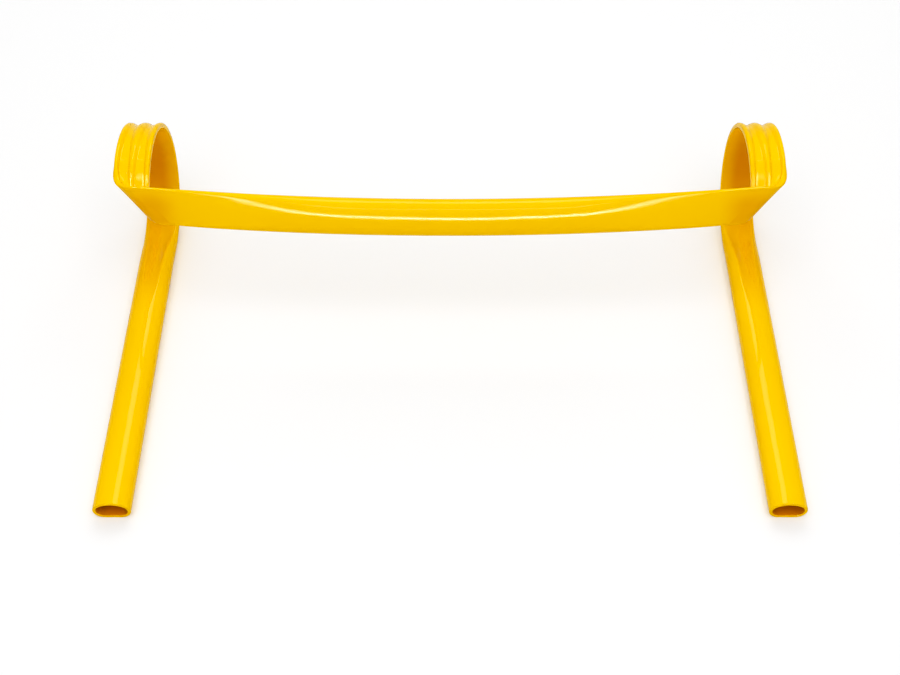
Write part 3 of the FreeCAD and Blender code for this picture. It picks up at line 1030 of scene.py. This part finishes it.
@dataclass
class FoldedCorner:
    """A corner: the band rolled half a turn about a slanted line, its beads running out."""

    route: TubeRoute
    side: Side
    shade_turn_share: float = 0.4

    def build(self) -> bpy.types.Object:
        """Make the piece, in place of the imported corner.

        Returns:
            The piece.
        """
        route, form = self.route, self.route.form
        rings = np.array([route.loop[-2], *route.corner, route.bar[1]])
        # Painted shade: from the loop's shade to the deeper shade on the bar's front, over the
        # first part of the turn
        first = form.loop_shade(form.fold_angle) * inner_face_shade(LitEdge.LAST)
        last = form.fold_shade_share * inner_face_shade(LitEdge.FIRST)
        turned = eased(np.linspace(0.0, 1.0, route.corner_rings) / self.shade_turn_share)
        shade_depth = mix(first, last, turned[:, None])
        piece = formed_on_side("folded_corner", self.side, rings, shade_depth)
        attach(piece, "bar")
        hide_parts(f"{self.side.value}_corner")
        return piece


@dataclass
class Crossbar:
    """The crossbar: flat at both folds, opening to an oval tube, bowed down its width."""

    route: TubeRoute

    def build(self) -> bpy.types.Object:
        """Make the piece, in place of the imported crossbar.

        Returns:
            The piece.
        """
        form = self.route.form
        left = [self.route.corner[-2], *self.route.bar]
        right = [ring * MIRROR for ring in reversed(left[:-1])]
        rings = np.array(left + right)
        # Painted shade on the bar's front by each fold, fading out along the bar
        from_fold = form.half_span - form.roll_end - np.abs(rings[1:-1, :, 0])
        shade = form.fold_shade_share * (1.0 - eased(from_fold / form.fold_shade_reach))
        piece = formed_piece("crossbar_tube", rings, shade * inner_face_shade(LitEdge.FIRST))
        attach(piece, "bar")
        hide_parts("crossbar")
        return piece


class Duty(Enum):
    """What a light is there for: to light the hurdle, or only to show in its gloss."""

    LIGHT = "light"
    SHINE = "shine"


@dataclass(frozen=True)
class SoftBox:
    """A flat light that fades at its rim, aimed at a point."""

    name: str
    place: Point
    aim: Point
    size: tuple[float, float]
    radiance: float
    duty: Duty
    fade_share: float = 0.15
    roll: float = 0.0

    def on_both_sides(self) -> tuple[SoftBox, SoftBox]:
        """The light as the left one of a pair, and its mirror image on the right.

        Returns:
            Both lights, with their side in their names.
        """
        place, aim = (tuple((np.array(p) * MIRROR).tolist()) for p in (self.place, self.aim))
        left = replace(self, name=f"{Side.LEFT.value}_{self.name}")
        right = replace(self, name=f"{Side.RIGHT.value}_{self.name}", place=place, aim=aim,
                        roll=-self.roll)
        return left, right

    def build(self) -> None:
        """Add the light."""
        deselect_all()
        aim = Vector(self.aim) - Vector(self.place)
        turn = aim.to_track_quat("-Z", "Y") @ Quaternion((0.0, 0.0, 1.0), self.roll)
        bpy.ops.object.light_add(type="AREA", location=self.place, rotation=turn.to_euler())
        light = bpy.context.object
        light.name = self.name
        light.data.shape = "RECTANGLE"
        light.data.size, light.data.size_y = self.size
        light.data.energy = self.radiance * math.pi * self.size[0] * self.size[1]
        light.visible_diffuse = self.duty is Duty.LIGHT
        light.visible_glossy = self.duty is Duty.SHINE
        self.fade(light.data)

    def fade(self, light: bpy.types.AreaLight) -> None:
        """Let the glow fall off towards the light's rim.

        Args:
            light: The light.
        """
        light.use_nodes = True
        graph = ShaderGraph(light.node_tree)
        place = graph.add("ShaderNodeNewGeometry")
        axes = graph.add("ShaderNodeSeparateXYZ", {"Vector": place.outputs["Parametric"]})
        glows = {}
        for number, axis in enumerate("XY"):
            rim = graph.add("ShaderNodeMath", {0: axes.outputs[axis]}, {1: RIM_TO_MIDDLE},
                            operation="PINGPONG")
            glow = graph.add("ShaderNodeMapRange", {"Value": rim.outputs["Value"]},
                             {"From Max": self.fade_share}, interpolation_type="SMOOTHSTEP")
            glows[number] = glow.outputs["Result"]
        both = graph.add("ShaderNodeMath", glows, operation="MULTIPLY")
        graph.feed(light.node_tree.nodes["Emission"], {"Strength": both.outputs["Value"]}, {})


@dataclass(frozen=True)
class Studio:
    """White floor, soft light and the photograph's camera.

    The floor has one grey for the camera, one for the light that it throws back and one in
    the gloss. The sky is dimmer at the horizon for matt surfaces than it is in the gloss.
    """

    camera_place: Point = (0.0, -0.778, 0.960)
    camera_pitch: float = math.radians(50.67)
    lens: float = 55.28
    floor_size: float = 12.0
    floor_white: float = 0.8
    floor_glow: float = 0.14
    floor_bounce: float = 0.92
    floor_shine: float = 0.65
    floor_roughness: float = 0.9
    horizon: float = 0.12
    horizon_seen: float = 0.55
    zenith: float = 0.78
    blue_clip: float = 0.04
    contrast: tuple[tuple[float, float], ...] = ((0.12, 0.08), (0.3, 0.265), (0.8, 0.83))
    soft_boxes: tuple[SoftBox, ...] = (
        SoftBox("key", (0.0, -0.9, 2.1), (0.0, 0.05, 0.05), (2.4, 2.2), 2.1, Duty.LIGHT),
        SoftBox("back_fill", (0.0, 1.5, 1.7), (0.0, 0.05, 0.05), (2.4, 1.2), 1.8, Duty.LIGHT),
        *SoftBox("strip", (-0.23, -0.8, 0.835), (-0.07, 0.045, 0.13), (0.95, 0.16), 21.0,
                 Duty.SHINE, 0.4, math.radians(-20.0)).on_both_sides(),
        SoftBox("over_camera", (0.0, -0.565, 1.609), (0.0, 0.045, 0.13), (2.0, 0.1), 3.0,
                Duty.SHINE, 0.3),
        SoftBox("overhead", (0.0, 0.62, 1.64), (0.0, 0.1, 0.13), (2.0, 0.06), 4.0,
                Duty.SHINE, 0.3),
        *SoftBox("side", (-1.15, -0.2, 1.7), (-0.1, 0.1, 0.13), (0.45, 1.2), 14.0,
                 Duty.SHINE).on_both_sides(),
        SoftBox("back", (0.0, 1.05, 1.6), (0.0, -0.05, 0.02), (0.84, 0.9), 2.6,
                Duty.SHINE, 0.2),
    )

    def build(self) -> None:
        """Add the floor, the lights and the camera."""
        self.add_floor()
        self.add_sky()
        for box in self.soft_boxes:
            box.build()
        self.add_camera()

    def add_floor(self) -> None:
        """A pale floor under the hurdle."""
        deselect_all()
        bpy.ops.mesh.primitive_plane_add(size=self.floor_size)
        floor = bpy.context.object
        floor.name = "floor"
        paint = bpy.data.materials.new("floor_white")
        paint.use_nodes = True
        graph = ShaderGraph(paint.node_tree)
        path = graph.add("ShaderNodeLightPath")
        seen = path.outputs["Is Camera Ray"]
        bounce = graph.add("ShaderNodeMapRange", {"Value": path.outputs["Is Glossy Ray"]},
                           {"To Min": self.floor_bounce, "To Max": self.floor_shine})
        grey = graph.add("ShaderNodeMapRange", {"Value": seen, "To Min": bounce.outputs["Result"]},
                         {"To Max": self.floor_white})
        glow = graph.add("ShaderNodeMath", {0: seen}, {1: self.floor_glow}, operation="MULTIPLY")
        graph.feed(paint.node_tree.nodes["Principled BSDF"],
                   {"Base Color": grey.outputs["Result"],
                    "Emission Strength": glow.outputs["Value"]},
                   {"Emission Color": WHITE, "Roughness": self.floor_roughness,
                    "Specular IOR Level": 0.0})
        floor.data.materials.append(paint)

    def add_sky(self) -> None:
        """Soft light all round, dim at the horizon and bright overhead."""
        world = bpy.data.worlds.new("studio")
        bpy.context.scene.world = world
        world.use_nodes = True
        graph = ShaderGraph(world.node_tree)
        place = graph.add("ShaderNodeTexCoord")
        axes = graph.add("ShaderNodeSeparateXYZ", {"Vector": place.outputs["Generated"]})
        path = graph.add("ShaderNodeLightPath")
        low = graph.add("ShaderNodeMapRange", {"Value": path.outputs["Is Diffuse Ray"]},
                        {"To Min": self.horizon_seen, "To Max": self.horizon})
        glow = graph.add("ShaderNodeMapRange",
                         {"Value": axes.outputs["Z"], "To Min": low.outputs["Result"]},
                         {"To Max": self.zenith}, interpolation_type="SMOOTHSTEP")
        graph.feed(world.node_tree.nodes["Background"], {"Strength": glow.outputs["Result"]},
                   {"Color": WHITE})

    def add_camera(self) -> None:
        """The camera, where the photograph was taken from, with its contrast and clipped blue."""
        deselect_all()
        turn = (QUARTER - self.camera_pitch, 0.0, 0.0)
        bpy.ops.object.camera_add(location=self.camera_place, rotation=turn)
        camera = bpy.context.object
        camera.data.lens = self.lens
        bpy.context.scene.camera = camera
        view = bpy.context.scene.view_settings
        view.view_transform = "Standard"
        view.use_curve_mapping = True
        view.curve_mapping.black_level = (0.0, 0.0, self.blue_clip)
        for seen, shown in self.contrast:
            view.curve_mapping.curves[COMBINED_CURVE].points.new(seen, shown)
        view.curve_mapping.update()


def main() -> None:
    """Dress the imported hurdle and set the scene."""
    logging.basicConfig(level=logging.INFO)
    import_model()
    route = TubeRoute(TubeForm.from_frame())
    plastic = GlossyPlastic().material()
    stretches: list[Crossbar | Leg | SpringLoop | FoldedCorner] = [Crossbar(route)]
    for side in Side:
        stretches += [Leg(route, side), SpringLoop(route, side), FoldedCorner(route, side)]
    for stretch in stretches:
        piece = stretch.build()
        piece.data.materials.append(plastic)
        LOG.info("%s: %d faces", piece.name, len(piece.data.polygons))
    Studio().build()


if __name__ == "__main__":
    main()
